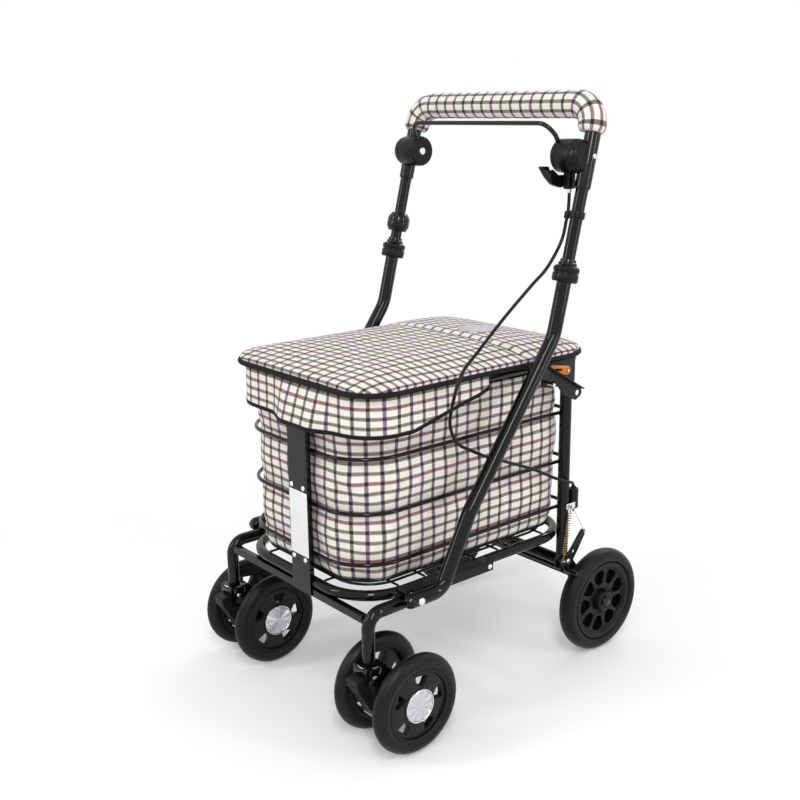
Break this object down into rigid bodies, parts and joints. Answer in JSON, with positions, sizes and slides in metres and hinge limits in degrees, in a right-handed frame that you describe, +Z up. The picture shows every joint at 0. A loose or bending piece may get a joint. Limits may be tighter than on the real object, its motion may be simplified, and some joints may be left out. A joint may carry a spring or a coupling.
{
  "type": "shopping walker",
  "caption": "Four-legged walking aid with a padded seat lid over a cloth bag, a telescopic push handle with squeeze brake, twin swivel casters and rear wheels.",
  "frame": {"origin": "on the floor under the middle of the walker's outline", "axes": "+Z up, -Y towards the front casters, +Y towards the user behind it, +X towards the user's left-hand side as they push"},
  "size_m": [0.471, 0.603, 0.9108],
  "materials": {
    "frame_paint": "gloss black powder coat",
    "rail_paint": "matte dark grey coat",
    "bright_metal": "bright zinc plate",
    "black_plastic": "satin moulded nylon",
    "lever_metal": "satin dark grey",
    "orange_plastic": "glossy, slightly translucent",
    "tyre_rubber": "matte",
    "wheel_plastic": "satin",
    "pedal_plastic": "matte",
    "check_cloth": "woven check on a cream ground, padded lid and grip",
    "cable_jacket": "satin cable jacket",
    "spring_brass": "bright brass-plated wire"
  },
  "bodies": {
    "basket_frame": {"base_ring": "frame_paint", "hoop_upper": "frame_paint", "hoop_middle": "frame_paint", "hoop_lower": "frame_paint", "seat_frame": "frame_paint", "floor_grid": "frame_paint", "front_leg_left": "frame_paint", "front_leg_right": "frame_paint", "front_cross_bar": "frame_paint", "front_channel": "frame_paint", "rear_upright_left": "frame_paint", "rear_upright_right": "frame_paint", "rear_subframe": "frame_paint", "rear_axle_left": "frame_paint", "rear_axle_right": "frame_paint", "lower_rail_left": "rail_paint", "lower_rail_right": "rail_paint", "pivot_rivet_left": "bright_metal", "pivot_rivet_right": "bright_metal", "cable_stop": "black_plastic", "shopping_bag": "check_cloth", "brake_cable": "cable_jacket", "brake_spring": "spring_brass", "brake_wire": "bright_metal"},
    "handle_frame": {"side_tube_left": "frame_paint", "side_tube_right": "frame_paint", "tube_bush_left": "black_plastic", "tube_bush_right": "black_plastic"},
    "handle_upper": {"handle_loop": "frame_paint", "hub_left": "black_plastic", "hub_right": "black_plastic", "grip_pad": "check_cloth", "stop_collar": "black_plastic", "cable_clip": "black_plastic"},
    "brake_bail": {"brake_bail": "black_plastic"},
    "parking_lever": {"parking_lever": "black_plastic"},
    "brake_shoe": {"brake_bar": "frame_paint", "brake_arm": "frame_paint"},
    "lid": {"seat_lid": "check_cloth", "lid_valance": "check_cloth"},
    "clamp_collar_left": {"clamp_collar_left": "black_plastic"},
    "fold_lever_left": {"fold_lever_left": "lever_metal"},
    "safety_catch_left": {"safety_catch_left": "orange_plastic"},
    "rear_wheel_left": {"rear_tyre_left": "tyre_rubber", "rear_rim_left": "wheel_plastic"},
    "caster_left": {"caster_fork_left": "black_plastic", "caster_axle_left": "bright_metal"},
    "caster_wheel_outer_left": {"caster_wheel_outer_left": "tyre_rubber"},
    "caster_wheel_inner_left": {"caster_wheel_inner_left": "tyre_rubber"},
    "caster_pedal_left": {"caster_pedal_left": "pedal_plastic"},
    "clamp_collar_right": {"clamp_collar_right": "black_plastic"},
    "fold_lever_right": {"fold_lever_right": "lever_metal"},
    "safety_catch_right": {"safety_catch_right": "orange_plastic"},
    "rear_wheel_right": {"rear_tyre_right": "tyre_rubber", "rear_rim_right": "wheel_plastic"},
    "caster_right": {"caster_fork_right": "black_plastic", "caster_axle_right": "bright_metal"},
    "caster_wheel_outer_right": {"caster_wheel_outer_right": "tyre_rubber"},
    "caster_wheel_inner_right": {"caster_wheel_inner_right": "tyre_rubber"},
    "caster_pedal_right": {"caster_pedal_right": "pedal_plastic"}
  },
  "joints": [
    {"name": "handle_fold", "type": "hinge", "parent": "basket_frame", "child": "handle_frame", "pos_m": [0, -0.1985, 0.219], "axis": [1, 0, 0], "range_deg": [0, 50], "deforming": ["brake_cable"]},
    {"name": "handle_height", "type": "slide", "parent": "handle_frame", "child": "handle_upper", "axis": [0, 0.247, 0.969], "range_m": [-0.011, 0.04]},
    {"name": "brake_bail_squeeze", "type": "hinge", "parent": "handle_upper", "child": "brake_bail", "pos_m": [0, 0.126, 0.817], "axis": [1, 0, 0], "range_deg": [-22, 0], "stiffness_Nm_per_rad": 1.5, "springref_deg": 5.73},
    {"name": "parking_lever_press", "type": "hinge", "parent": "handle_upper", "child": "parking_lever", "pos_m": [0.1667, 0.122, 0.783], "axis": [1, 0, 0], "range_deg": [0, 25]},
    {"name": "brake_shoe_swing", "type": "hinge", "parent": "basket_frame", "child": "brake_shoe", "pos_m": [0, 0.158, 0.164], "axis": [1, 0, 0], "range_deg": [0, 8.5], "stiffness_Nm_per_rad": 1, "springref_deg": -2.86, "deforming": ["brake_spring", "brake_wire"]},
    {"name": "lid_hinge", "type": "hinge", "parent": "basket_frame", "child": "lid", "pos_m": [0, 0.2005, 0.514], "axis": [1, 0, 0], "range_deg": [-55, 0]},
    {"name": "clamp_collar_turn_left", "type": "hinge", "parent": "handle_frame", "child": "clamp_collar_left", "pos_m": [0.1995, 0.0955, 0.6486], "axis": [0, 0.247, 0.969], "range_deg": [0, 90]},
    {"name": "fold_lever_lift_left", "type": "hinge", "parent": "handle_frame", "child": "fold_lever_left", "pos_m": [0.1905, 0.062, 0.503], "axis": [1, 0, 0], "range_deg": [0, 35]},
    {"name": "safety_catch_press_left", "type": "hinge", "parent": "basket_frame", "child": "safety_catch_left", "pos_m": [0.18, 0.1235, 0.4955], "axis": [1, 0, 0], "range_deg": [0, 12]},
    {"name": "rear_wheel_spin_left", "type": "hinge", "parent": "basket_frame", "child": "rear_wheel_left", "pos_m": [0.185, 0.214, 0.0875], "axis": [1, 0, 0], "continuous": true},
    {"name": "caster_swivel_left", "type": "hinge", "parent": "basket_frame", "child": "caster_left", "pos_m": [0.1785, -0.27, 0.1365], "axis": [0, 0, 1], "continuous": true},
    {"name": "caster_wheel_spin_outer_left", "type": "hinge", "parent": "caster_left", "child": "caster_wheel_outer_left", "pos_m": [0.2225, -0.223, 0.075], "axis": [1, 0, 0], "continuous": true},
    {"name": "caster_wheel_spin_inner_left", "type": "hinge", "parent": "caster_left", "child": "caster_wheel_inner_left", "pos_m": [0.1345, -0.223, 0.075], "axis": [1, 0, 0], "continuous": true},
    {"name": "caster_pedal_press_left", "type": "hinge", "parent": "caster_left", "child": "caster_pedal_left", "pos_m": [0.1785, -0.282, 0.1165], "axis": [1, 0, 0], "range_deg": [0, 10], "stiffness_Nm_per_rad": 0.1, "springref_deg": -5.73},
    {"name": "clamp_collar_turn_right", "type": "hinge", "parent": "handle_frame", "child": "clamp_collar_right", "pos_m": [-0.1995, 0.0955, 0.6486], "axis": [0, 0.247, 0.969], "range_deg": [0, 90]},
    {"name": "fold_lever_lift_right", "type": "hinge", "parent": "handle_frame", "child": "fold_lever_right", "pos_m": [-0.1905, 0.062, 0.503], "axis": [1, 0, 0], "range_deg": [0, 35]},
    {"name": "safety_catch_press_right", "type": "hinge", "parent": "basket_frame", "child": "safety_catch_right", "pos_m": [-0.18, 0.1235, 0.4955], "axis": [1, 0, 0], "range_deg": [0, 12]},
    {"name": "rear_wheel_spin_right", "type": "hinge", "parent": "basket_frame", "child": "rear_wheel_right", "pos_m": [-0.185, 0.214, 0.0875], "axis": [1, 0, 0], "continuous": true},
    {"name": "caster_swivel_right", "type": "hinge", "parent": "basket_frame", "child": "caster_right", "pos_m": [-0.1785, -0.27, 0.1365], "axis": [0, 0, 1], "continuous": true},
    {"name": "caster_wheel_spin_outer_right", "type": "hinge", "parent": "caster_right", "child": "caster_wheel_outer_right", "pos_m": [-0.2225, -0.223, 0.075], "axis": [1, 0, 0], "continuous": true},
    {"name": "caster_wheel_spin_inner_right", "type": "hinge", "parent": "caster_right", "child": "caster_wheel_inner_right", "pos_m": [-0.1345, -0.223, 0.075], "axis": [1, 0, 0], "continuous": true},
    {"name": "caster_pedal_press_right", "type": "hinge", "parent": "caster_right", "child": "caster_pedal_right", "pos_m": [-0.1785, -0.282, 0.1165], "axis": [1, 0, 0], "range_deg": [0, 10], "stiffness_Nm_per_rad": 0.1, "springref_deg": -5.73}
  ],
  "couplings": [
    {"joint": "brake_shoe_swing", "follows": "brake_bail_squeeze", "ratio": -0.386}
  ]
}
